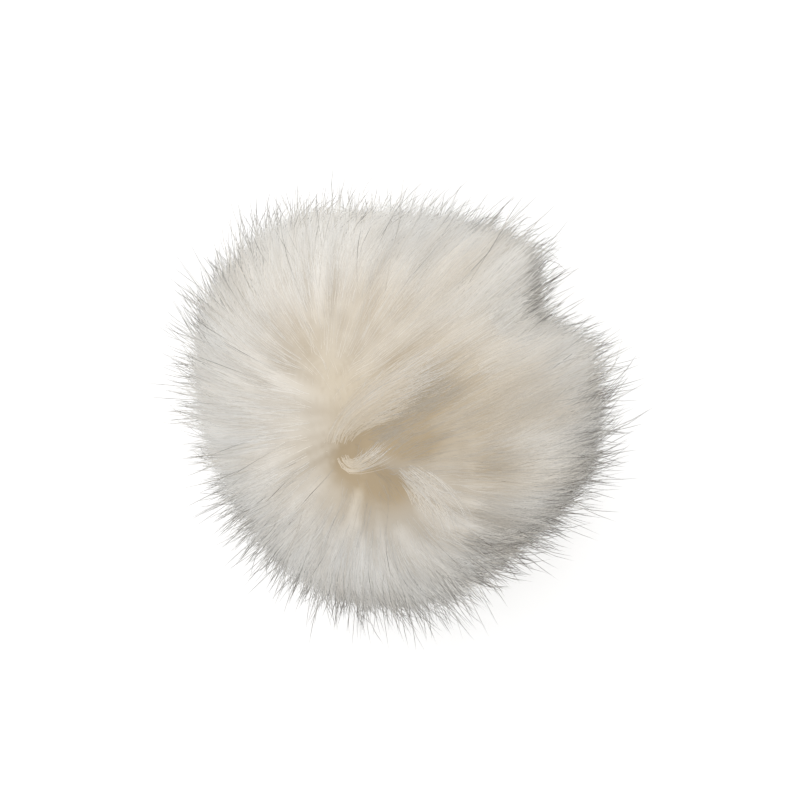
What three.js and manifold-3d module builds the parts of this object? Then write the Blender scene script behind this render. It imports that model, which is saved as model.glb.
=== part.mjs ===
// A faux fur pom pom lying at rest: one round, lumpy ball of long pile that parts at the crown.
// The dense pile is one body. Its tufts are tapered locks, combed away from the parting, with
// their roots fused in the pile. Millimetres, +Z up, origin at the middle of the spot it rests on.
import * as THREE from "three";
import { mergeVertices } from "three/addons/utils/BufferGeometryUtils.js";
import Module from "manifold-3d";

const wasm = await Module();
wasm.setup();

// Driving sizes.
const furAcross = 125; // dense fur, side to side, before its lobes
const furHeight = 104; // dense fur, floor to crown
const widestHeight = 47; // height of the ball's middle, where it is widest
const undersideDepth = 59.5; // how far the ball would reach below its middle with no floor
const pileShare = 0.83; // the solid pile's share of the dense fur's radius
const pileFaceRows = 7; // rows of faces along each edge of the pile's icosahedron

// Swellings and dips of the fur, placed by compass and height angle in degrees. Azimuth 0 is +X.
const lobes = [
  { name: "left shoulder", azimuth: 138, elevation: 4, spread: 34, rise: 0.13 },
  { name: "left flat", azimuth: 200, elevation: 0, spread: 22, rise: -0.03 },
  { name: "front swelling", azimuth: 268, elevation: 0, spread: 27, rise: 0.08 },
  { name: "front right notch", azimuth: 305, elevation: 18, spread: 11, rise: -0.07 },
  { name: "right swelling", azimuth: 348, elevation: 5, spread: 26, rise: 0.09 },
  { name: "right notch", azimuth: 29, elevation: 12, spread: 12, rise: -0.12 },
  { name: "back right corner", azimuth: 49, elevation: 10, spread: 12, rise: 0.05 },
  { name: "back flat", azimuth: 88, elevation: 5, spread: 18, rise: -0.05 },
  { name: "crown tuft", azimuth: 35, elevation: 72, spread: 20, rise: 0.04 },
];

// The parting is a bent line over the crown, given as seen from above. The fur falls away from it.
const parting = [
  { x: -24, y: 9 },
  { x: -22, y: -8 },
  { x: -17, y: -20 },
  { x: -2, y: -29 },
];
const partingDepth = 0.13; // share of the fur's radius that is missing at the parting
const partingSpread = 13; // degrees from the line at which the hollow has mostly gone
const partingSteps = 5; // points on each stretch of the line
const partingPull = 3; // higher lets the nearest part of the line alone say which way fur falls

// Locks.
const lockCount = 280; // spread evenly over the whole ball, before those under it are left out
const lockStray = 2; // degrees by which a root strays from an even spread
const lockSides = 3;
const lockSteps = 3;
const lockHalfWidth = 4.8;
const lockHalfThickness = 3.6;
const lockTaper = 2.2; // higher keeps the lock broad for longer
const lockRootShare = 0.66; // where locks start, as a share of the dense fur's radius
const lockBendShare = 0.97; // how high they stand before they bend over
const lockBendTurn = 0.25; // how far towards their tips they have turned by then
const lockReach = 1.07; // mean share of the fur's radius that the tips reach
const lockReachSpread = 0.07; // and how far single tips differ from it
const combNear = 13; // degrees that a tip leans away from its root, beside the parting
const combFar = 26; // and where the fur lies flattest, on the shoulders
const combBuild = 30; // degrees from the parting at which it does
const combLevels = { none: -0.6, full: 0.7 }; // heights, on a ball of radius 1, between which it fades
const combWander = 5; // degrees by which single locks stray sideways

// The floor.
const floorSoftness = 7; // height below which locks are pressed level
const leastRoom = 1.6; // locks need this much height above the floor at the pile's surface

const middle = new THREE.Vector3(0, 0, widestHeight);
const radians = THREE.MathUtils.degToRad;
const degrees = THREE.MathUtils.radToDeg;
const tiny = 1e-4; // keeps a division finite, and merges points that meet

function direction(azimuth, elevation) {
  const level = Math.cos(radians(elevation));
  return new THREE.Vector3(
    level * Math.cos(radians(azimuth)),
    level * Math.sin(radians(azimuth)),
    Math.sin(radians(elevation)),
  );
}

const lobeDirections = lobes.map((lobe) => direction(lobe.azimuth, lobe.elevation));

// The direction from the ball's middle to the fur's crown above a point seen from above.
function crownDirection({ x, y }) {
  const across = furAcross / 2;
  const share = Math.sqrt(1 - (x * x + y * y) / (across * across));
  return new THREE.Vector3(x, y, share * (furHeight - widestHeight)).normalize();
}

const partingLine = new THREE.CatmullRomCurve3(parting.map(crownDirection))
  .getPoints(partingSteps * (parting.length - 1))
  .map((point) => point.normalize());

function partingAngle(dir) {
  const nearest = Math.max(...partingLine.map((point) => point.dot(dir)));
  return degrees(Math.acos(Math.min(1, nearest)));
}

function bump(angle, spread) {
  return Math.exp(-((angle / spread) ** 2));
}

// Distance from the ball's middle to the outside of the dense fur.
function furRadius(dir) {
  const across = furAcross / 2;
  const tall = dir.z > 0 ? furHeight - widestHeight : undersideDepth;
  const plain = 1 / Math.hypot(dir.x / across, dir.y / across, dir.z / tall);
  let swell = 1 - partingDepth * bump(partingAngle(dir), partingSpread);
  lobes.forEach((lobe, i) => {
    swell += lobe.rise * bump(degrees(dir.angleTo(lobeDirections[i])), lobe.spread);
  });
  return plain * swell;
}

// The way that the fur is combed along the ball: away from all of the parting at once.
function combDirection(dir) {
  const push = new THREE.Vector3();
  for (const point of partingLine) {
    const away = dir.clone().sub(point);
    push.addScaledVector(away, 1 / (away.length() ** partingPull + tiny));
  }
  return push.addScaledVector(dir, -push.dot(dir)).normalize();
}

// A repeatable number from 0 to 1 for a lock's own irregularity.
function scatter(lock, use) {
  const wave = Math.sin((lock + 1) * 12.9898 + use * 78.233) * 43758.5453;
  return wave - Math.floor(wave);
}

function solidOf(geometry) {
  const bare = geometry.clone();
  bare.deleteAttribute("normal");
  bare.deleteAttribute("uv");
  const merged = mergeVertices(bare, tiny);
  return new wasm.Manifold(
    new wasm.Mesh({
      numProp: 3,
      vertProperties: merged.attributes.position.array,
      triVerts: new Uint32Array(merged.index.array),
    }),
  );
}

function geometryOf(solid) {
  const mesh = solid.getMesh();
  const geometry = new THREE.BufferGeometry();
  geometry.setAttribute("position", new THREE.BufferAttribute(mesh.vertProperties, 3));
  geometry.setIndex(new THREE.BufferAttribute(mesh.triVerts, 1));
  geometry.computeVertexNormals();
  return geometry;
}

// Moves every vertex of a geometry to the point that place(vertex) gives.
function reshape(geometry, place) {
  const position = geometry.attributes.position;
  const vertex = new THREE.Vector3();
  for (let i = 0; i < position.count; i += 1) {
    const moved = place(vertex.fromBufferAttribute(position, i));
    position.setXYZ(i, moved.x, moved.y, moved.z);
  }
  return geometry;
}

// The solid pile: a ball in the fur's shape, flat where it meets the floor.
function pile() {
  return reshape(new THREE.IcosahedronGeometry(1, pileFaceRows - 1), (vertex) => {
    const dir = vertex.clone().normalize();
    const point = dir.clone().multiplyScalar(pileShare * furRadius(dir)).add(middle);
    point.z = Math.max(point.z, 0);
    return point;
  });
}

// Directions spread evenly over a ball, in a spiral about the parting.
function lockDirection(lock) {
  const axis = partingLine[Math.floor(partingLine.length / 2)];
  const turn = new THREE.Quaternion().setFromUnitVectors(new THREE.Vector3(0, 0, 1), axis);
  const height = 1 - (2 * (lock + 0.5)) / lockCount;
  const goldenAngle = Math.PI * (3 - Math.sqrt(5));
  const level = Math.sqrt(1 - height * height);
  const around = lock * goldenAngle;
  const even = new THREE.Vector3(level * Math.cos(around), level * Math.sin(around), height);
  const stray = new THREE.Vector3(scatter(lock, 3), scatter(lock, 4), scatter(lock, 5));
  return even
    .addScaledVector(stray.subScalar(0.5), 2 * radians(lockStray))
    .normalize()
    .applyQuaternion(turn);
}

function combAngle(dir) {
  const fromParting = THREE.MathUtils.smoothstep(partingAngle(dir), 0, combBuild);
  const aboveFloor = THREE.MathUtils.smoothstep(dir.z, combLevels.none, combLevels.full);
  return THREE.MathUtils.lerp(combNear, combFar, fromParting) * aboveFloor;
}

// Heights near the floor are squeezed together, so that pressed fur lies level and never sinks in.
function pressed(z) {
  return z > floorSoftness ? z : floorSoftness * Math.exp((z - floorSoftness) / floorSoftness);
}

function lock(index) {
  const out = lockDirection(index);
  const skin = pileShare * furRadius(out) * out.z + widestHeight;
  if (skin < leastRoom) return null;

  const stray = radians(combWander) * (2 * scatter(index, 1) - 1);
  const comb = combDirection(out).applyAxisAngle(out, stray);
  const lean = radians(combAngle(out));
  const aim = out.clone().multiplyScalar(Math.cos(lean)).addScaledVector(comb, Math.sin(lean));
  const reach = lockReach + lockReachSpread * (2 * scatter(index, 2) - 1);
  const root = out.clone().multiplyScalar(lockRootShare * furRadius(out)).add(middle);
  const bend = out.clone().lerp(aim, lockBendTurn).normalize();
  bend.multiplyScalar(lockBendShare * furRadius(out)).add(middle);
  const tip = aim.clone().multiplyScalar(reach * furRadius(aim)).add(middle);
  const spine = new THREE.QuadraticBezierCurve3(root, bend, tip);
  const side = comb.clone().cross(out).normalize();
  const settle = tip.z < 0 ? pressed(tip.z) : 0;

  const cone = new THREE.ConeGeometry(1, 1, lockSides, lockSteps).translate(0, 0.5, 0);
  return reshape(cone, (vertex) => {
    const along = vertex.y;
    const open = along < 1 ? (1 - along ** lockTaper) / (1 - along) : 0;
    const normal = side.clone().cross(spine.getTangent(along)).normalize();
    const point = spine
      .getPoint(along)
      .addScaledVector(side, vertex.x * open * lockHalfWidth)
      .addScaledVector(normal, vertex.z * open * lockHalfThickness);
    point.z = pressed(point.z) - settle * along ** 2;
    return point;
  });
}

let fur = solidOf(pile());
for (let index = 0; index < lockCount; index += 1) {
  const geometry = lock(index);
  if (geometry) fur = fur.add(solidOf(geometry));
}

const cream = new THREE.MeshStandardMaterial({ color: 0xd9d2c6, roughness: 0.95, metalness: 0 });
const furBall = new THREE.Mesh(geometryOf(fur), cream);
furBall.name = "fur_ball";

const pomPom = new THREE.Group();
pomPom.add(furBall);
export default pomPom;
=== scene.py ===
# A faux fur pom pom lying on a pale floor, seen from straight above.
# The fur mass is one padded ball. The fur on it is joined meshes of fine tapered hairs,
# combed away from a parting.
import math

import bmesh
import bpy
import numpy as np
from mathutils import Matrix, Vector
from mathutils.kdtree import KDTree


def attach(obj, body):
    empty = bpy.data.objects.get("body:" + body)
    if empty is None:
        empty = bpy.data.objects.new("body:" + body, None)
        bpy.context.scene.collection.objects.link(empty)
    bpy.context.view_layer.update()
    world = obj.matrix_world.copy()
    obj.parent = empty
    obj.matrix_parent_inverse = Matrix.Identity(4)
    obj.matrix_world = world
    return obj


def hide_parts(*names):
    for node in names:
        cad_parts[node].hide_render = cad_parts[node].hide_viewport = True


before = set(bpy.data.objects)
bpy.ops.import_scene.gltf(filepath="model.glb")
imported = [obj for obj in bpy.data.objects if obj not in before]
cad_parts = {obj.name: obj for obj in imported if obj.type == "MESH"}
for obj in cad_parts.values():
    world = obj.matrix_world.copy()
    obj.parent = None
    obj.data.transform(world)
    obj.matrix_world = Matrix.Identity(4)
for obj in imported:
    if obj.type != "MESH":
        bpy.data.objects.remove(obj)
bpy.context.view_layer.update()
scene = bpy.context.scene
print("frame loaded")

# The fur's overall form, in metres and degrees. Azimuth 0 is +X.
fur = {
    "across": 0.125,
    "height": 0.104,
    "middle": 0.047,  # height of the ball's middle
    "underside": 0.0595,  # reach below the middle, were there no floor
    "floorSoftness": 0.007,  # pressed level below this height
    "floorGap": 0.0001,
}
lobes = [
    {"name": "left shoulder", "azimuth": 141, "elevation": 4, "spread": 33, "rise": 0.115},
    {"name": "left flat", "azimuth": 200, "elevation": 0, "spread": 24, "rise": -0.04},
    {"name": "front swelling", "azimuth": 262, "elevation": 0, "spread": 30, "rise": 0.055},
    {"name": "front right flat", "azimuth": 317, "elevation": 10, "spread": 13, "rise": -0.06},
    {"name": "right swelling", "azimuth": 345, "elevation": 5, "spread": 22, "rise": 0.05},
    {"name": "back right corner", "azimuth": 51, "elevation": 12, "spread": 11, "rise": 0.11},
    {"name": "back flat", "azimuth": 91, "elevation": 5, "spread": 20, "rise": -0.09},
    {"name": "right corner", "azimuth": 14, "elevation": 5, "spread": 8, "rise": 0.07},
    {"name": "back left corner", "azimuth": 118, "elevation": 3, "spread": 8, "rise": 0.035},
    {"name": "front corner", "azimuth": 283, "elevation": 0, "spread": 8, "rise": 0.035},
    {"name": "crown tuft", "azimuth": 35, "elevation": 72, "spread": 20, "rise": 0.04},
]
# Hollows in the fur, as lines over the crown seen from above, or up the side by compass and height
# angle. The fur falls away from the first of them, its parting.
# Each hollow's shade darkens the fur's colour along it: painted shade.
hollows = [
    {
        "name": "parting",
        "crown": [(-0.024, 0.009), (-0.022, -0.008), (-0.017, -0.020), (-0.002, -0.029)],
        "depth": 0.07,
        "spread": 12,
        "shade": 0.05,
    },
    {
        "name": "valley",
        "crown": [(-0.0155, -0.014), (-0.0055, -0.0105), (0.002, -0.0055), (0.0125, 0.003)],
        "depth": 0.05,
        "spread": 6,
        "shade": 0.75,
    },
    {
        "name": "under the curl",
        "crown": [(-0.0172, -0.0226), (-0.0112, -0.0252), (-0.0060, -0.0283), (-0.0010, -0.0312)],
        "depth": 0.045,
        "spread": 6,
        "shade": 1.4,
    },
    {
        "name": "beside the curl",
        "crown": [(-0.003, -0.0135), (0.0025, -0.0158), (0.0085, -0.0150)],
        "depth": 0.015,
        "spread": 5,
        "shade": 0.9,
    },
    {
        "name": "right dimple",
        "crown": [(0.030, -0.022), (0.035, -0.023)],
        "depth": 0.02,
        "spread": 5,
        "shade": 0.5,
    },
    {
        "name": "right notch",
        "side": [(29, -50), (31, 12), (37, 34)],
        "depth": 0.15,
        "spread": 9,
        "shade": 0.2,
    },
    {
        "name": "front right notch",
        "side": [(308, -50), (309, 10), (309, 34)],
        "depth": 0.045,
        "spread": 8,
        "shade": 0.35,
    },
]
hollowSteps = 5  # points on each stretch of a line


def unit(vectors):
    return vectors / np.maximum(np.linalg.norm(vectors, axis=-1, keepdims=True), 1e-9)


def smoothstep(values, low, high):
    share = np.clip((values - low) / (high - low), 0, 1)
    return share * share * (3 - 2 * share)


def direction(azimuth, elevation):
    level = math.cos(math.radians(elevation))
    turn = math.radians(azimuth)
    return np.array([level * math.cos(turn), level * math.sin(turn), math.sin(math.radians(elevation))])


def crownDirection(x, y):  # from the ball's middle to the crown above a point seen from above
    share = np.sqrt(1 - (x * x + y * y) / (fur["across"] / 2) ** 2)
    return unit(np.stack([x, y, share * (fur["height"] - fur["middle"])], axis=-1))


for hollow in hollows:
    ends = [crownDirection(x, y) for x, y in hollow.get("crown", [])]
    ends += [direction(azimuth, elevation) for azimuth, elevation in hollow.get("side", [])]
    shares = np.linspace(0, len(ends) - 1, hollowSteps * (len(ends) - 1) + 1)
    line = np.stack([np.interp(shares, range(len(ends)), axis) for axis in np.transpose(ends)], axis=1)
    hollow["points"] = unit(line)
partingLine = hollows[0]["points"]


def degreesBetween(dirs, other):
    return np.degrees(np.arccos(np.clip(dirs @ other, -1, 1)))


def angleFromLine(dirs, points):
    return np.degrees(np.arccos(np.clip((dirs @ points.T).max(axis=-1), -1, 1)))


def partingAngle(dirs):
    return angleFromLine(dirs, partingLine)


def bump(angle, spread):
    return np.exp(-((angle / spread) ** 2))


def furRadius(dirs):  # from the ball's middle to the outside of the dense fur
    half = fur["across"] / 2
    tall = np.where(dirs[..., 2] > 0, fur["height"] - fur["middle"], fur["underside"])
    level = (dirs[..., 0] / half) ** 2 + (dirs[..., 1] / half) ** 2
    plain = 1 / np.sqrt(level + (dirs[..., 2] / tall) ** 2)
    swell = np.ones(dirs.shape[:-1])
    for hollow in hollows:
        swell = swell - hollow["depth"] * bump(angleFromLine(dirs, hollow["points"]), hollow["spread"])
    for lobe in lobes:
        away = degreesBetween(dirs, direction(lobe["azimuth"], lobe["elevation"]))
        swell = swell + lobe["rise"] * bump(away, lobe["spread"])
    return plain * swell


def facing(dirs):  # which way the fur's outside faces
    step = 0.01
    pole = np.where(np.abs(dirs[..., 2:]) < 0.9, [0.0, 0.0, 1.0], [1.0, 0.0, 0.0])
    east = unit(np.cross(pole, dirs))
    north = np.cross(dirs, east)

    def across(along):
        ahead = unit(dirs + step * along)
        behind = unit(dirs - step * along)
        return ahead * furRadius(ahead)[..., None] - behind * furRadius(behind)[..., None]

    return unit(np.cross(across(east), across(north)))


combPull = 3  # higher lets the nearest part of the parting alone say which way fur falls
combSoftness = 1e-4  # keeps the pull finite on the parting itself


def combDirection(dirs):  # along the ball, away from all of the parting at once
    push = np.zeros_like(dirs)
    for point in partingLine:
        away = dirs - point
        push += away / (np.linalg.norm(away, axis=-1, keepdims=True) ** combPull + combSoftness)
    return unit(push - dirs * (push * dirs).sum(axis=-1, keepdims=True))


def pressed(heights):  # fur near the floor is squeezed level and never sinks in
    soft = fur["floorSoftness"]
    low = soft * np.exp((np.minimum(heights, soft) - soft) / soft)
    return np.where(heights > soft, heights, low) + fur["floorGap"]


def evenDirections(count, stray, rng):  # an even spiral over the ball, shaken
    height = 1 - (2 * np.arange(count) + 1) / count
    around = np.arange(count) * math.pi * (3 - math.sqrt(5))
    level = np.sqrt(1 - height**2)
    even = np.stack([level * np.cos(around), level * np.sin(around), height], axis=1)
    return unit(even + rng.normal(size=even.shape) * stray / math.sqrt(count))


field = {
    "waves": 16,
    "steepness": (0.6, 1.5),  # range of the waves, against the pitch asked for
    "steps": 9,  # along a streak
    "settle": 0.75,  # keeps a streaked field as strong as a plain one
}


def ripple(dirs, seed, pitch):  # a smooth random field over the ball, about -1 to 1
    rng = np.random.default_rng(seed)
    count = field["waves"]
    waves = unit(rng.normal(size=(count, 3))) * rng.uniform(*field["steepness"], size=(count, 1))
    waves *= 2 * math.pi / math.radians(pitch)
    return np.sin(dirs @ waves.T + rng.uniform(0, 2 * math.pi, size=count)).sum(axis=-1) / math.sqrt(count)


# Where the fur is creamier, where more of its tips are dark, where painted shade darkens it and painted
# light brightens it, and where it lies in separate locks. Places are compass and height angles in degrees.
warmSpots = [
    {"name": "cream patch", "azimuth": 155, "elevation": 66, "spread": 15, "amount": 0.7},
    {"name": "valley", "azimuth": 0, "elevation": 80, "spread": 26, "amount": 0.7},
    {"name": "whorl", "azimuth": 238, "elevation": 64, "spread": 14, "amount": 0.12},
    {"name": "under the curl", "azimuth": 252, "elevation": 54, "spread": 11, "amount": 0.4},
    {"name": "right flank", "azimuth": 350, "elevation": 45, "spread": 28, "amount": 0.4},
    {"name": "crown", "azimuth": 90, "elevation": 82, "spread": 58, "amount": 0.6},
]
darkSpots = [
    {"name": "front right", "azimuth": 302, "elevation": 19, "spread": 15, "amount": 1.0},
    {"name": "front right rim", "azimuth": 311, "elevation": -5, "spread": 13, "amount": 1.0},
    {"name": "front left", "azimuth": 225, "elevation": 12, "spread": 24, "amount": 0.25},
    {"name": "notch", "azimuth": 36, "elevation": 18, "spread": 9, "amount": 1.0},
    {"name": "right", "azimuth": 342, "elevation": 10, "spread": 26, "amount": 0.6},
    {"name": "front", "azimuth": 268, "elevation": -2, "spread": 24, "amount": 0.35},
]
# Painted shade: darker fur in the valleys, under the curl and on the side away from the key light.
paintedShadeSpots = [
    {"name": "right of the parting", "azimuth": 322, "elevation": 75, "spread": 14, "amount": 0.65},
    {"name": "valley's end", "azimuth": 12, "elevation": 74, "spread": 9, "amount": 0.3},
    {"name": "right flank", "azimuth": 340, "elevation": 58, "spread": 16, "amount": 0.35},
    {"name": "front right", "azimuth": 298, "elevation": 26, "spread": 11, "amount": 1.0},
    {"name": "front right rim", "azimuth": 311, "elevation": -7, "spread": 12, "amount": 0.9},
    {"name": "below the curl", "azimuth": 282, "elevation": 72, "spread": 9, "amount": 1.0},
    {"name": "right rim", "azimuth": 346, "elevation": 10, "spread": 22, "amount": 0.4},
    {"name": "notch", "azimuth": 37, "elevation": 18, "spread": 8, "amount": 1.0},
    {"name": "under the curl", "azimuth": 250, "elevation": 55, "spread": 12, "amount": 1.0},
    {"name": "front", "azimuth": 258, "elevation": 42, "spread": 14, "amount": 0.4},
    {"name": "back", "azimuth": 87, "elevation": 36, "spread": 11, "amount": 0.6},
    {"name": "front left", "azimuth": 215, "elevation": 18, "spread": 20, "amount": 0.5},
    {"name": "right corner", "azimuth": 8, "elevation": 14, "spread": 8, "amount": 0.6},
    {"name": "back right", "azimuth": 62, "elevation": 10, "spread": 14, "amount": 0.35},
    {"name": "right", "azimuth": 350, "elevation": 25, "spread": 11, "amount": 0.8},
    {"name": "right of the crown", "azimuth": 7, "elevation": 43, "spread": 9, "amount": 0.5},
    {"name": "front rim", "azimuth": 266, "elevation": 2, "spread": 18, "amount": 0.5},
]
# Painted light: brighter fur on the lit left side and on lit locks and lobes.
paintedLightSpots = [
    {"name": "back left", "azimuth": 125, "elevation": 35, "spread": 30, "amount": 0.3},
    {"name": "inside the notch", "azimuth": 41, "elevation": 42, "spread": 17, "amount": 1.0},
    {"name": "above the notch", "azimuth": 27, "elevation": 58, "spread": 10, "amount": 0.7},
    {"name": "beside the right corner", "azimuth": 23, "elevation": 8, "spread": 8, "amount": 0.7},
    {"name": "front rim", "azimuth": 296, "elevation": 1, "spread": 9, "amount": 0.8},
    {"name": "cream patch", "azimuth": 152, "elevation": 58, "spread": 14, "amount": 0.6},
    {"name": "right lock", "azimuth": 339, "elevation": 34, "spread": 10, "amount": 1.0},
    {"name": "left rim", "azimuth": 188, "elevation": 0, "spread": 22, "amount": 1.0},
    {"name": "left of the whorl", "azimuth": 208, "elevation": 53, "spread": 12, "amount": 0.9},
    {"name": "front right lock", "azimuth": 314, "elevation": 12, "spread": 7, "amount": 0.8},
    {"name": "back rim", "azimuth": 88, "elevation": 4, "spread": 24, "amount": 0.6},
]
lockSpots = [
    {"name": "below the parting", "azimuth": 250, "elevation": 35, "spread": 28, "amount": 1.0},
    {"name": "back left", "azimuth": 125, "elevation": 40, "spread": 30, "amount": 0.8},
    {"name": "front right", "azimuth": 305, "elevation": 25, "spread": 18, "amount": 1.0},
]
# The fur is warmer in the hollows: partly its creamier roots showing, partly painted shade.
warmField = {"hollows": 0.5, "noise": 0.08, "seed": 21, "pitch": 30}
lockField = {"broad": (5, 8, 22), "fine": (6, 3.5, 14), "warm": (7, 9, 22)}  # seed, pitch and reach


def spotted(dirs, spots):  # 0 to 1
    missing = np.ones(len(dirs))
    for spot in spots:
        away = degreesBetween(dirs, direction(spot["azimuth"], spot["elevation"]))
        missing = missing * (1 - spot["amount"] * bump(away, spot["spread"]))
    return 1 - missing


def paintedHollowShade(dirs):  # 0 to 1: painted shade, deepest in the hollows
    shade = np.zeros(len(dirs))
    for hollow in hollows:
        shade = shade + hollow["shade"] * bump(angleFromLine(dirs, hollow["points"]), hollow["spread"])
    return np.clip(shade, 0, 1)


def warmthOf(dirs):
    warmth = spotted(dirs, warmSpots) + warmField["hollows"] * paintedHollowShade(dirs)
    noise = warmField["noise"] * ripple(dirs, warmField["seed"], warmField["pitch"])
    return np.clip(warmth + noise, 0, 1)


def streaks(dirs, seed, pitch, reach):  # a random field drawn out along the comb, about -1 to 1
    steps = field["steps"]
    total = np.zeros(len(dirs))
    here = dirs
    for step in range(steps):
        total += ripple(here, seed, pitch)
        here = unit(here - combDirection(here) * math.radians(reach) / steps)
    return total / steps ** field["settle"]


# Shader maths.
class Wire:
    def __init__(self, finish, socket):
        self.finish = finish
        self.socket = socket

    def maths(self, operation, first, second):
        return self.finish.node("ShaderNodeMath", {"operation": operation}, {0: first, 1: second})

    def __add__(self, other):
        return self.maths("ADD", self, other)

    def __mul__(self, other):
        return self.maths("MULTIPLY", self, other)

    def __sub__(self, other):
        return self.maths("SUBTRACT", self, other)

    def __rsub__(self, other):
        return self.maths("SUBTRACT", other, self)

    def __mod__(self, other):
        return self.maths("MODULO", self, other)

    def __floordiv__(self, other):
        return self.maths("FLOOR", self * (1 / other), 0)

    __radd__ = __add__
    __rmul__ = __mul__


class Finish:
    def __init__(self, name, **constants):
        self.material = bpy.data.materials.new(name)
        self.material.use_nodes = True
        self.tree = self.material.node_tree
        self.shader = self.tree.nodes["Principled BSDF"]
        for socket, value in constants.items():
            self.feed(self.shader.inputs[socket], value)

    def feed(self, socket, value):
        if isinstance(value, Wire):
            self.tree.links.new(value.socket, socket)
        else:
            socket.default_value = value

    def node(self, kind, settings, sockets, output=0):
        made = self.tree.nodes.new(kind)
        for key, value in settings.items():
            setattr(made, key, value)
        for key, value in sockets.items():
            self.feed(made.inputs[key], value)
        return Wire(self, made.outputs[output])

    def blend(self, share, first, second):
        sockets = {0: share, 6: first, 7: second}
        return self.node("ShaderNodeMix", {"data_type": "RGBA"}, sockets, output=2)

    def multiply(self, first, second):
        settings = {"data_type": "RGBA", "blend_type": "MULTIPLY"}
        return self.node("ShaderNodeMix", settings, {0: 1.0, 6: first, 7: second}, output=2)

    def smoothShare(self, value, low, high):
        settings = {"interpolation_type": "SMOOTHSTEP"}
        return self.node("ShaderNodeMapRange", settings, {0: value, 1: low, 2: high})


def tint(red, green, blue):  # from 0 to 255 as seen on a screen
    def linear(value):
        share = value / 255
        return share / 12.92 if share <= 0.04045 else ((share + 0.055) / 1.055) ** 2.4

    return (linear(red), linear(green), linear(blue), 1)


# The hairs' colours. Each hair takes one of 256 columns of a UV map, which says its warmth, how dark its
# tip is, and its tone, a grey that also carries painted shade and painted light.
hairTones = {
    "warmths": 8,
    "tips": 4,
    "tones": 8,
    "mapHeight": 0.25,  # share of the map's height that a hair runs up
    "warmRoot": tint(191, 173, 147),
    "coolRoot": tint(211, 207, 198),
    "warmLength": tint(217, 203, 181),
    "coolLength": tint(239, 237, 232),
    "paleTip": tint(224, 221, 216),
    "darkTip": tint(89, 81, 71),
    "dullest": 0.61,
    "brightest": 1.0,
    "rootEnds": (0.1, 0.55),  # shares of the hair between which the root's colour fades
    "tipStart": 0.75,  # and from which the tip's colour comes
    "tipFull": 0.96,
    "darkStart": 0.55,  # how much further down the darkest tips start
    "darkFull": 0.12,
    "roughness": 0.62,
    "specular": 0.25,
}


def hairFinish():
    tones = hairTones
    columns = tones["warmths"] * tones["tips"] * tones["tones"]
    finish = Finish("hair", Roughness=tones["roughness"])
    finish.shader.inputs["Specular IOR Level"].default_value = tones["specular"]
    uv = finish.node("ShaderNodeUVMap", {"uv_map": "OFBake"}, {})
    across = finish.node("ShaderNodeSeparateXYZ", {}, {0: uv}, output=0)
    up = finish.node("ShaderNodeSeparateXYZ", {}, {0: uv}, output=1)
    along = up * (1 / tones["mapHeight"])
    column = (across * columns) // 1
    group = tones["tips"] * tones["tones"]
    warmth = (column // group) * (1 / (tones["warmths"] - 1))
    tip = ((column % group) // tones["tones"]) * (1 / (tones["tips"] - 1))
    tone = (column % tones["tones"]) * (1 / (tones["tones"] - 1))
    root = finish.blend(warmth, tones["coolRoot"], tones["warmRoot"])
    length = finish.blend(warmth, tones["coolLength"], tones["warmLength"])
    body = finish.blend(finish.smoothShare(along, *tones["rootEnds"]), root, length)
    end = finish.blend(tip, tones["paleTip"], tones["darkTip"])
    start = tones["tipStart"] - tip * tones["darkStart"]
    full = tones["tipFull"] - tip * tones["darkFull"]
    whole = finish.blend(finish.smoothShare(along, start, full), body, end)
    shade = tone * (tones["brightest"] - tones["dullest"]) + tones["dullest"]
    grey = finish.node("ShaderNodeCombineColor", {}, {0: shade, 1: shade, 2: shade})
    finish.feed(finish.shader.inputs["Base Color"], finish.multiply(whole, grey))
    return finish.material


def addPiece(name, mesh, material, fine=False):
    piece = bpy.data.objects.new(name, mesh)
    scene.collection.objects.link(piece)
    mesh.materials.append(material)
    mesh.shade_smooth()
    piece.visible_shadow = not fine  # hairs this fine let the light through
    piece.visible_diffuse = not fine
    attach(piece, "root")
    return piece


# The fur mass: a ball pulled out to the fur's form, streaked along the comb.
mass = {
    "crownShare": 0.88,
    "sideShare": 0.86,
    "subdivisions": 7,
    "relief": 0.004,
    "fineRelief": 0.002,
    "lift": 0.0012,
    # The deep colours show at the streaks' low end and as painted shade, the crest colours at their high
    # end and as painted light.
    "coolDeep": tint(188, 183, 174),
    "warmDeep": tint(170, 153, 127),
    "coolCrest": tint(216, 213, 208),
    "warmCrest": tint(198, 185, 163),
    "crownLevels": (0, 0.6),  # heights, on a ball of radius 1, between which the shares change
    "locks": 0.6,  # how strongly its streaks show
    "lockSpots": 0.45,  # and how much more they do in the lock spots
    "fineLocks": 0.5,  # the finer streaks, against the broad ones
    # Weights of painted shade in the hollows and shade spots, and of painted light in the light spots:
    "hollows": 0.9,
    "paintedShade": 0.6,
    "paintedLight": 0.5,
    "roughness": 0.9,
    "specular": 0.1,
    "fibreScale": 900.0,
    "fibreDetail": 2.0,
    "bumpStrength": 0.15,
    "bumpDistance": 0.0005,
    "fill": 0.9,
}


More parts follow.
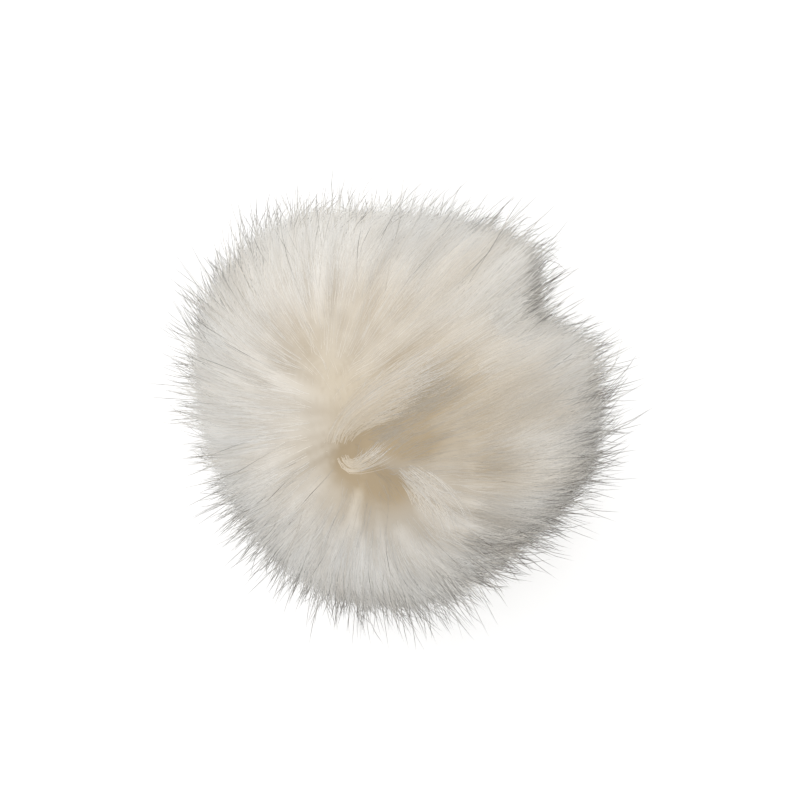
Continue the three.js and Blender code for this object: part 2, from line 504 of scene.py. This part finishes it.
def massFinish():
    finish = Finish("fur mass", Roughness=mass["roughness"])
    finish.shader.inputs["Specular IOR Level"].default_value = mass["specular"]
    warmth = finish.node("ShaderNodeAttribute", {"attribute_name": "warmth"}, {}, output=2)
    streakAndPaintedLight = finish.node("ShaderNodeAttribute", {"attribute_name": "streakAndPaintedLight"}, {}, output=2)
    deep = finish.blend(warmth, mass["coolDeep"], mass["warmDeep"])
    crest = finish.blend(warmth, mass["coolCrest"], mass["warmCrest"])
    colour = finish.blend(streakAndPaintedLight * 0.5 + 0.5, deep, crest)  # streaks with painted shade and painted light, from -1 to 1
    finish.feed(finish.shader.inputs["Base Color"], colour)
    place = finish.node("ShaderNodeTexCoord", {}, {}, output=3)
    grain = {"Vector": place, "Scale": mass["fibreScale"], "Detail": mass["fibreDetail"]}
    fibre = finish.node("ShaderNodeTexNoise", {}, grain)
    bump = {"Height": fibre, "Strength": mass["bumpStrength"], "Distance": mass["bumpDistance"]}
    relief = finish.node("ShaderNodeBump", {}, bump)
    finish.feed(finish.shader.inputs["Normal"], relief)
    return finish.material


def furMass():
    shape = bmesh.new()
    bmesh.ops.create_icosphere(shape, subdivisions=mass["subdivisions"], radius=1)
    mesh = bpy.data.meshes.new("fur_mass")
    shape.to_mesh(mesh)
    shape.free()
    points = np.empty(len(mesh.vertices) * 3)
    mesh.vertices.foreach_get("co", points)
    dirs = unit(points.reshape(-1, 3))
    broad = streaks(dirs, *lockField["broad"])
    fine = streaks(dirs, *lockField["fine"])
    crown = smoothstep(dirs[:, 2], *mass["crownLevels"])
    share = mass["sideShare"] + (mass["crownShare"] - mass["sideShare"]) * crown
    share = share * (1 + mass["relief"] * broad + mass["fineRelief"] * fine)
    points = dirs * (furRadius(dirs) * share)[:, None]
    points[:, 2] = pressed(points[:, 2] + fur["middle"]) + mass["lift"]
    mesh.vertices.foreach_set("co", points.ravel())
    locks = mass["locks"] + mass["lockSpots"] * spotted(dirs, lockSpots)
    # Streaks along the comb, with painted shade in the hollows and shade spots and painted light in the
    # light spots.
    streakAndPaintedLight = locks * broad + mass["fineLocks"] * locks * fine - mass["hollows"] * paintedHollowShade(dirs)
    streakAndPaintedLight = streakAndPaintedLight - mass["paintedShade"] * spotted(dirs, paintedShadeSpots) + mass["paintedLight"] * spotted(dirs, paintedLightSpots)
    streakAndPaintedLight = np.clip(streakAndPaintedLight, -1, 1)
    mesh.attributes.new("streakAndPaintedLight", "FLOAT", "POINT").data.foreach_set("value", streakAndPaintedLight)
    mesh.attributes.new("warmth", "FLOAT", "POINT").data.foreach_set("value", warmthOf(dirs))
    mesh.update()
    piece = addPiece("fur_mass", mesh, massFinish())
    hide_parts("fur_ball")


# The coats of hair. Shares are of the dense fur's radius, lengths in metres, angles in degrees.
coats = [
    {
        "name": "coat",
        "pieces": 4,
        "count": 60000,
        "steps": 2,
        "root": 0.84,
        "tip": 0.937,
        "tipSpread": 0.04,
        "lean": 1.15,
        "leanSpread": 0.14,
        "stray": 5,
        "arch": 0.12,
        "width": 0.00022,
        "taper": 2,
        "clumps": 3000,
        "gather": 0.35,
        "wave": 0.0,
        "darkness": 0.0,
        "darkShare": 0.0,
        "seed": 12,
    },
    {
        "name": "guard_hairs",
        "pieces": 1,
        "count": 20000,
        "band": {"elevation": 4, "spread": 38},
        "steps": 2,
        "root": 0.84,
        "tip": 0.97,
        "tipSpread": 0.05,
        "lean": 1.2,
        "leanSpread": 0.35,
        "stray": 7,
        "arch": 0.1,
        "width": 0.00022,
        "taper": 4,
        "clumps": 2000,
        "gather": 0.4,
        "wave": 0.0002,
        "darkness": 0.0,
        "darkShare": 0.07,
        "seed": 13,
    },
    {
        "name": "tipped_hairs",
        "pieces": 1,
        "count": 18000,
        "band": {"elevation": 6, "spread": 20},
        "steps": 2,
        "root": 0.88,
        "tip": 0.975,
        "tipSpread": 0.07,
        "lean": 1.0,
        "leanSpread": 0.3,
        "stray": 6,
        "arch": 0.03,
        "width": 0.00022,
        "taper": 5,
        "clumps": 1200,
        "gather": 0.5,
        "wave": 0.0,
        "darkness": 0.5,
        "darkShare": 0.2,
        "seed": 14,
    },
    {
        "name": "stray_hairs",
        "pieces": 1,
        "count": 3600,
        "band": {"elevation": 12, "spread": 26},
        "steps": 3,
        "root": 0.88,
        "tip": 1.11,
        "tipSpread": 0.05,
        "lean": 1.0,
        "leanSpread": 0.4,
        "stray": 9,
        "arch": 0.05,
        "width": 0.0002,
        "taper": 4,
        "clumps": 700,
        "gather": 0.2,
        "wave": 0.0003,
        "darkness": 0.5,
        "darkShare": 0.35,
        "seed": 15,
    },
]
# Tufts that lie over the parting. Each follows points of x, y and a height, as a share of the fur's
# radius there.
tufts = [
    {
        "name": "sweep",
        "line": [
            (-0.0205, -0.0150, 0.905),
            (-0.0175, -0.0085, 0.935),
            (-0.0105, -0.0025, 0.95),
            (-0.0005, 0.0035, 0.96),
            (0.0110, 0.0095, 0.955),
            (0.0235, 0.0155, 0.935),
        ],
        "count": 260,
        "spread": 0.0046,
        "lift": 0.03,
        "tone": 0.885,
    },
    {
        "name": "curl",
        "line": [
            (-0.0196, -0.0192, 0.90),
            (-0.0176, -0.0216, 0.935),
            (-0.0143, -0.0220, 0.945),
            (-0.0105, -0.0200, 0.95),
            (-0.0065, -0.0166, 0.94),
            (-0.0015, -0.0124, 0.92),
        ],
        "count": 90,
        "spread": 0.0019,
        "lift": 0.02,
        "tone": 0.91,
    },
    {
        "name": "front lock",
        "line": [
            (0.0000, -0.0225, 0.88),
            (0.0050, -0.0252, 0.92),
            (0.0110, -0.0300, 0.94),
            (0.0165, -0.0362, 0.945),
            (0.0220, -0.0450, 0.935),
        ],
        "count": 120,
        "spread": 0.0052,
        "lift": 0.03,
        "tone": 0.91,
    },
]
tuftHairs = {
    "steps": 6,
    "width": 0.0002,
    "taper": 3,
    "late": 0.4,  # share of the tuft's line by which a hair may start late
    "short": 0.5,  # and by which it may end short
    "rootSpread": 0.5,
    "widest": 1.6,  # spreads that a hair may lie aside
    "fan": 0.9,
    "sideDrop": 3.5,  # how much lower a tuft is at its sides
    "warmthNoise": 0.1,
    "tipNoise": 0.12,
    "toneNoise": 0.045,
    "lowest": 0.45,  # where on the hairs' colours a tuft hair starts
    "seed": 31,
}
# Degrees that a tip leans away from its root, beside the parting and where the fur lies flattest.
comb = {"near": 13, "far": 27, "build": 30, "none": -0.6, "full": 0.7}
sway = {
    "drift": 8,  # degrees by which whole areas of fur lean sideways
    "driftPitch": 40,
    "reachDrift": 0.01,
    "reachPitch": 25,
    "longest": 3.5,  # the longest hairs, in tip spreads
    "bends": (2, 5),  # radians of a hair's own wave
}
growth = {
    "rootShake": 0.9,  # how far roots stray from an even spread
    "clumpShake": 0.6,
    "gatherCurve": 1.1,
    "widths": (0.75, 1.25),
}


def combAngle(dirs):
    fromParting = smoothstep(partingAngle(dirs), 0, comb["build"])
    aboveFloor = smoothstep(dirs[..., 2], comb["none"], comb["full"])
    return (comb["near"] + (comb["far"] - comb["near"]) * fromParting) * aboveFloor


def hairPaths(coat, dirs, rng, seed):
    count = len(dirs)
    turn = np.radians(combAngle(dirs) * coat["lean"] * (1 + coat["leanSpread"] * rng.normal(size=count)))
    drift = sway["drift"] * ripple(dirs, seed, sway["driftPitch"])
    stray = np.radians(coat["stray"] * rng.normal(size=count) + drift)
    longer = np.minimum(rng.exponential(size=count), sway["longest"]) - 1
    reach = coat["tip"] + coat["tipSpread"] * longer
    reach = reach + sway["reachDrift"] * ripple(dirs, seed + 1, sway["reachPitch"])
    fall = combDirection(dirs)
    side = np.cross(dirs, fall)
    heading = fall * np.cos(stray)[:, None] + side * np.sin(stray)[:, None]
    aim = unit(dirs * np.cos(turn)[:, None] + heading * np.sin(turn)[:, None])
    root = dirs * (furRadius(dirs) * coat["root"])[:, None]
    tip = aim * (furRadius(aim) * reach)[:, None]
    arch = coat["arch"] * np.linalg.norm(tip - root, axis=1) * np.abs(turn) / math.radians(comb["far"])
    along = np.linspace(0, 1, coat["steps"] + 1)[None, :, None]
    points = root[:, None] * (1 - along) + tip[:, None] * along
    points += unit(dirs + aim)[:, None] * arch[:, None, None] * 4 * along * (1 - along)
    bend = along * rng.uniform(*sway["bends"], size=(count, 1, 1))
    bend = bend + rng.uniform(0, 2 * math.pi, size=(count, 1, 1))
    points += side[:, None] * coat["wave"] * along * np.sin(bend)
    points[..., 2] += fur["middle"]
    return points


def nearest(dirs, centres):
    tree = KDTree(len(centres))
    for number, centre in enumerate(centres):
        tree.insert(Vector(centre), number)
    tree.balance()
    return np.array([tree.find(Vector(one))[1] for one in dirs])


def columnOf(warmth, tip, tone):
    def level(values, levels):
        return np.clip(np.rint(np.clip(values, 0, 1) * (levels - 1)), 0, levels - 1)

    shade = (tone - hairTones["dullest"]) / (hairTones["brightest"] - hairTones["dullest"])
    column = level(warmth, hairTones["warmths"]) * hairTones["tips"] + level(tip, hairTones["tips"])
    return column * hairTones["tones"] + level(shade, hairTones["tones"])


# The fur is less warm where light is painted.
coatWarmth = {"noise": 0.06, "streaks": 0.08, "paintedLight": 0.3}
coatTips = {
    "low": 0.45,  # how much darker they are low on the ball
    "lowLevels": (-0.2, 0.9),  # heights, on a ball of radius 1, between which they change
    "paintedLight": 0.7,  # share of the darkness that the painted light spots take away
    "noise": 0.15,
    "clumps": 0.05,
    "dark": 0.3,  # added to the noise and the clumps in dark spots
}
# Each hair's tone: random, streaked along the comb, with painted light in the light spots and painted shade
# in the shade spots and the hollows.
coatTone = {
    "mean": 0.877,
    "clumps": 0.02,
    "noise": 0.026,
    "locks": 0.046,
    "lockSpots": 0.04,
    "fineLocks": 0.5,
    "paintedLight": 0.11,
    "paintedShade": 0.16,
    "hollows": 0.24,
}


def coatColumns(coat, dirs, upper, clump, rng):
    count = len(dirs)
    # Painted light makes the fur cooler, paler at the tips and brighter; painted shade in the shade spots
    # and the hollows makes it dimmer.
    paintedLight = spotted(upper, paintedLightSpots)
    warmth = warmthOf(upper) * (1 - coatWarmth["paintedLight"] * paintedLight)
    warmth = warmth + coatWarmth["noise"] * rng.normal(size=count)
    warmth = warmth + coatWarmth["streaks"] * streaks(upper, *lockField["warm"])

    low = 1 - smoothstep(dirs[:, 2], *coatTips["lowLevels"])
    dark = spotted(upper, darkSpots)
    less = 1 - coatTips["paintedLight"] * paintedLight
    clumpTone = rng.normal(size=clump.max() + 1)[clump]
    tip = (coatTips["low"] * low + coat["darkness"]) * less + dark
    tip = tip + (rng.random(count) < coat["darkShare"] * less)
    tip = tip + (coatTips["noise"] + coatTips["dark"] * dark) * rng.normal(size=count)
    tip = tip - (coatTips["clumps"] + coatTips["dark"] * dark) * clumpTone

    tone = coatTone["mean"] + coatTone["clumps"] * clumpTone + coatTone["noise"] * rng.normal(size=count)
    locks = coatTone["locks"] + coatTone["lockSpots"] * spotted(upper, lockSpots)
    tone = tone + locks * streaks(upper, *lockField["broad"])
    tone = tone + coatTone["fineLocks"] * locks * streaks(upper, *lockField["fine"])
    # painted light, then painted shade in the shade spots and the hollows
    tone = tone + coatTone["paintedLight"] * paintedLight - coatTone["paintedShade"] * spotted(upper, paintedShadeSpots)
    tone = tone - coatTone["hollows"] * paintedHollowShade(upper)
    return columnOf(warmth, tip, tone)


hairShape = {
    "outward": 0.3,  # how far its shading turns from the fur's surface towards straight out
    "own": 0.3,  # and towards the hair's own roundness
    "mapSlots": (0.2, 0.5, 0.8),  # its three edges, across its column of the map
    "mapStart": 0.01,  # and its ends, up the column
    "mapRise": 0.97,
    "mapCap": 0.01,  # gives the root's cap some width on the map
}


def hairMesh(name, points, width, taper, columns, lowest=0.0):
    count, rings = points.shape[0], points.shape[1] - 1
    tangent = unit(np.gradient(points, axis=1))
    outward = unit(points - np.array([0, 0, fur["middle"]]))
    side = unit(np.cross(tangent, outward))
    normal = np.cross(side, tangent)
    along = np.linspace(0, 1, rings + 1)[:rings]
    radius = (width[:, None] / 2 * (1 - along**taper))[..., None]
    corners = []
    offsets = []
    for turn in (math.pi / 2, math.pi * 7 / 6, math.pi * 11 / 6):
        offset = normal[:, :rings] * math.sin(turn) - side[:, :rings] * math.cos(turn)
        corners.append(points[:, :rings] + offset * radius)
        offsets.append(offset)
    ring = np.stack(corners, axis=2).reshape(count, rings * 3, 3)
    vertices = np.concatenate([ring, points[:, rings:]], axis=1)
    vertices[..., 2] = pressed(vertices[..., 2])

    first = np.arange(rings - 1)[:, None] * 3
    corner = np.arange(3)[None, :]
    after = (corner + 1) % 3
    above = first + 3
    quads = np.stack([first + corner, first + after, above + after, above + corner], axis=-1)
    quads = quads.reshape(-1, 4)
    last = (rings - 1) * 3
    spike = last + np.array([[0, 1, 3], [1, 2, 3], [2, 0, 3]])
    cap = np.array([[2, 1, 0]])
    loops = np.concatenate([quads.ravel(), spike.ravel(), cap.ravel()])
    sizes = np.concatenate([np.full(len(quads), 4), np.full(4, 3)])

    perHair = rings * 3 + 1
    shift = np.arange(count)[:, None]
    mesh = bpy.data.meshes.new(name)
    mesh.vertices.add(count * perHair)
    mesh.vertices.foreach_set("co", vertices.ravel())
    mesh.loops.add(count * len(loops))
    mesh.loops.foreach_set("vertex_index", (loops[None, :] + shift * perHair).ravel().astype(np.int32))
    mesh.polygons.add(count * len(sizes))
    starts = np.concatenate([[0], np.cumsum(sizes)[:-1]])
    mesh.polygons.foreach_set("loop_start", (starts[None, :] + shift * len(loops)).ravel().astype(np.int32))
    mesh.update(calc_edges=True)

    mesh.shade_smooth()
    surface = unit(facing(outward) + hairShape["outward"] * outward)
    around = surface[:, :rings, None] + hairShape["own"] * np.stack(offsets, axis=2)
    around = unit(around).reshape(count, rings * 3, 3)
    shading = np.concatenate([around, surface[:, rings:]], axis=1)
    mesh.normals_split_custom_set_from_vertices(shading.reshape(-1, 3))  # lit as the fur is

    allColumns = hairTones["warmths"] * hairTones["tips"] * hairTones["tones"]
    slot = np.append(np.tile(hairShape["mapSlots"], rings), 0.5)
    rise = lowest + (1 - lowest) * np.append(np.repeat(along, 3), 1.0)
    rise = rise * hairShape["mapRise"] + hairShape["mapStart"]
    rise[1] += hairShape["mapCap"]
    u = (columns[:, None] + slot[loops][None, :]) / allColumns
    v = np.broadcast_to(rise[loops] * hairTones["mapHeight"], u.shape)
    layer = mesh.uv_layers.new(name="OFBake")
    layer.data.foreach_set("uv", np.stack([u, v], axis=-1).ravel())
    return mesh


def plant(name, points, width, taper, columns, pieces, material, lowest=0.0):
    order = np.argsort(points[:, 0, 0] if pieces > 1 else np.arange(len(points)), kind="stable")
    for number, part in enumerate(np.array_split(order, pieces)):
        label = f"{name}_{number + 1}"
        mesh = hairMesh(label, points[part], width[part], taper, columns[part], lowest)
        addPiece(mesh.name, mesh, material, fine=True)
        mesh.calc_loop_triangles()
        print(mesh.name, len(part), "hairs", len(mesh.loop_triangles), "triangles")


def growCoat(coat, material):
    rng = np.random.default_rng(coat["seed"])
    dirs = evenDirections(coat["count"], growth["rootShake"], rng)
    if "band" in coat:
        away = np.degrees(np.arcsin(dirs[:, 2])) - coat["band"]["elevation"]
        dirs = dirs[rng.random(len(dirs)) < bump(away, coat["band"]["spread"])]
    centres = evenDirections(coat["clumps"], growth["clumpShake"], rng)
    clump = nearest(dirs, centres)
    points = hairPaths(coat, dirs, rng, coat["seed"])
    guides = hairPaths(coat, centres, rng, coat["seed"])
    along = np.linspace(0, 1, coat["steps"] + 1)[None, :, None]
    points += (guides[clump] - points) * coat["gather"] * along ** growth["gatherCurve"]
    width = coat["width"] * rng.uniform(*growth["widths"], size=len(dirs))
    upper = unit(points[:, -2] - np.array([0, 0, fur["middle"]]))
    columns = coatColumns(coat, dirs, upper, clump, rng)
    plant(coat["name"], points, width, coat["taper"], columns, coat["pieces"], material)


def growTufts(material):
    rng = np.random.default_rng(tuftHairs["seed"])
    along = np.linspace(0, 1, tuftHairs["steps"] + 1)
    allPoints = []
    allColumns = []
    for tuft in tufts:
        count = tuft["count"]
        start = tuftHairs["late"] * rng.random(count)
        end = 1 - tuftHairs["short"] * rng.random(count)
        at = start[:, None] + (end - start)[:, None] * along
        knots = np.linspace(0, 1, len(tuft["line"]))
        curves = [np.polyfit(knots, axis, 3) for axis in np.transpose(tuft["line"])]
        course = [np.polyval(curve, at) for curve in curves]
        slope = [np.polyval(np.polyder(curve), at) for curve in curves[:2]]
        length = np.hypot(slope[0], slope[1])
        widest = tuftHairs["widest"]
        aside = tuft["spread"] * np.clip(rng.normal(size=count), -widest, widest)[:, None]
        aside = aside * (tuftHairs["rootSpread"] + (1 - tuftHairs["rootSpread"]) * at)
        aside = aside + tuftHairs["fan"] * tuft["spread"] * rng.normal(size=count)[:, None] * along**2
        x = course[0] - slope[1] / length * aside
        y = course[1] + slope[0] / length * aside
        share = course[2] + tuft["lift"] * (rng.random(count)[:, None] - 0.5)
        share = share - tuftHairs["sideDrop"] * (aside / (fur["across"] / 2)) ** 2
        dirs = crownDirection(x, y)
        points = dirs * (furRadius(dirs) * share)[..., None]
        points[..., 2] += fur["middle"]
        allPoints.append(points)
        warmth = warmthOf(dirs[:, 2]) + tuftHairs["warmthNoise"] * rng.normal(size=count)
        tone = tuft["tone"] + tuftHairs["toneNoise"] * rng.normal(size=count)
        tip = tuftHairs["tipNoise"] * rng.normal(size=count)
        allColumns.append(columnOf(warmth, tip, tone))
    points = np.concatenate(allPoints)
    columns = np.concatenate(allColumns)
    width = tuftHairs["width"] * rng.uniform(*growth["widths"], size=len(points))
    plant("tufts", points, width, tuftHairs["taper"], columns, 1, material, tuftHairs["lowest"])


# The floor, the lights and the camera.
studio = {
    "floorSize": 6.0,
    "floorTint": tint(254, 254, 254),
    "floorRoughness": 0.9,
    "floorGlow": 0.03,
    "worldStrength": 1.03,
    "keyPlace": (-0.4, 0.7, 1.1),
    "keySize": 1.3,
    "keyPower": 4.5,
    "cameraHeight": 1.0,
    "viewWidth": 0.2418,
    "viewCentre": (0.0009, 0.0006),
    "sensor": 36,
}


def makeStudio():
    shape = bmesh.new()
    bmesh.ops.create_grid(shape, x_segments=1, y_segments=1, size=studio["floorSize"] / 2)
    mesh = bpy.data.meshes.new("floor")
    shape.to_mesh(mesh)
    shape.free()
    floor = bpy.data.objects.new("floor", mesh)
    scene.collection.objects.link(floor)
    finish = Finish("floor", Roughness=studio["floorRoughness"])
    finish.feed(finish.shader.inputs["Base Color"], studio["floorTint"])
    finish.feed(finish.shader.inputs["Emission Color"], studio["floorTint"])
    finish.feed(finish.shader.inputs["Emission Strength"], studio["floorGlow"])
    mesh.materials.append(finish.material)

    world = bpy.data.worlds.new("studio")
    world.use_nodes = True
    world.node_tree.nodes["Background"].inputs["Color"].default_value = (1, 1, 1, 1)
    world.node_tree.nodes["Background"].inputs["Strength"].default_value = studio["worldStrength"]
    scene.world = world

    lamp = bpy.data.lights.new("key", "AREA")
    lamp.size = studio["keySize"]
    lamp.energy = studio["keyPower"]
    key = bpy.data.objects.new("key", lamp)
    scene.collection.objects.link(key)
    key.location = studio["keyPlace"]
    aim = Vector((0, 0, fur["middle"])) - key.location
    key.rotation_euler = aim.to_track_quat("-Z", "Y").to_euler()

    lens = bpy.data.cameras.new("camera")
    lens.sensor_width = studio["sensor"]
    away = studio["cameraHeight"] - fur["middle"]
    lens.lens = studio["sensor"] * away / studio["viewWidth"]
    camera = bpy.data.objects.new("camera", lens)
    scene.collection.objects.link(camera)
    camera.location = (*studio["viewCentre"], studio["cameraHeight"])
    scene.camera = camera
    scene.view_settings.view_transform = "Standard"


makeStudio()
print("studio made")
furMass()
print("fur mass made")
hairMaterial = hairFinish()
for coat in coats:
    growCoat(coat, hairMaterial)
growTufts(hairMaterial)
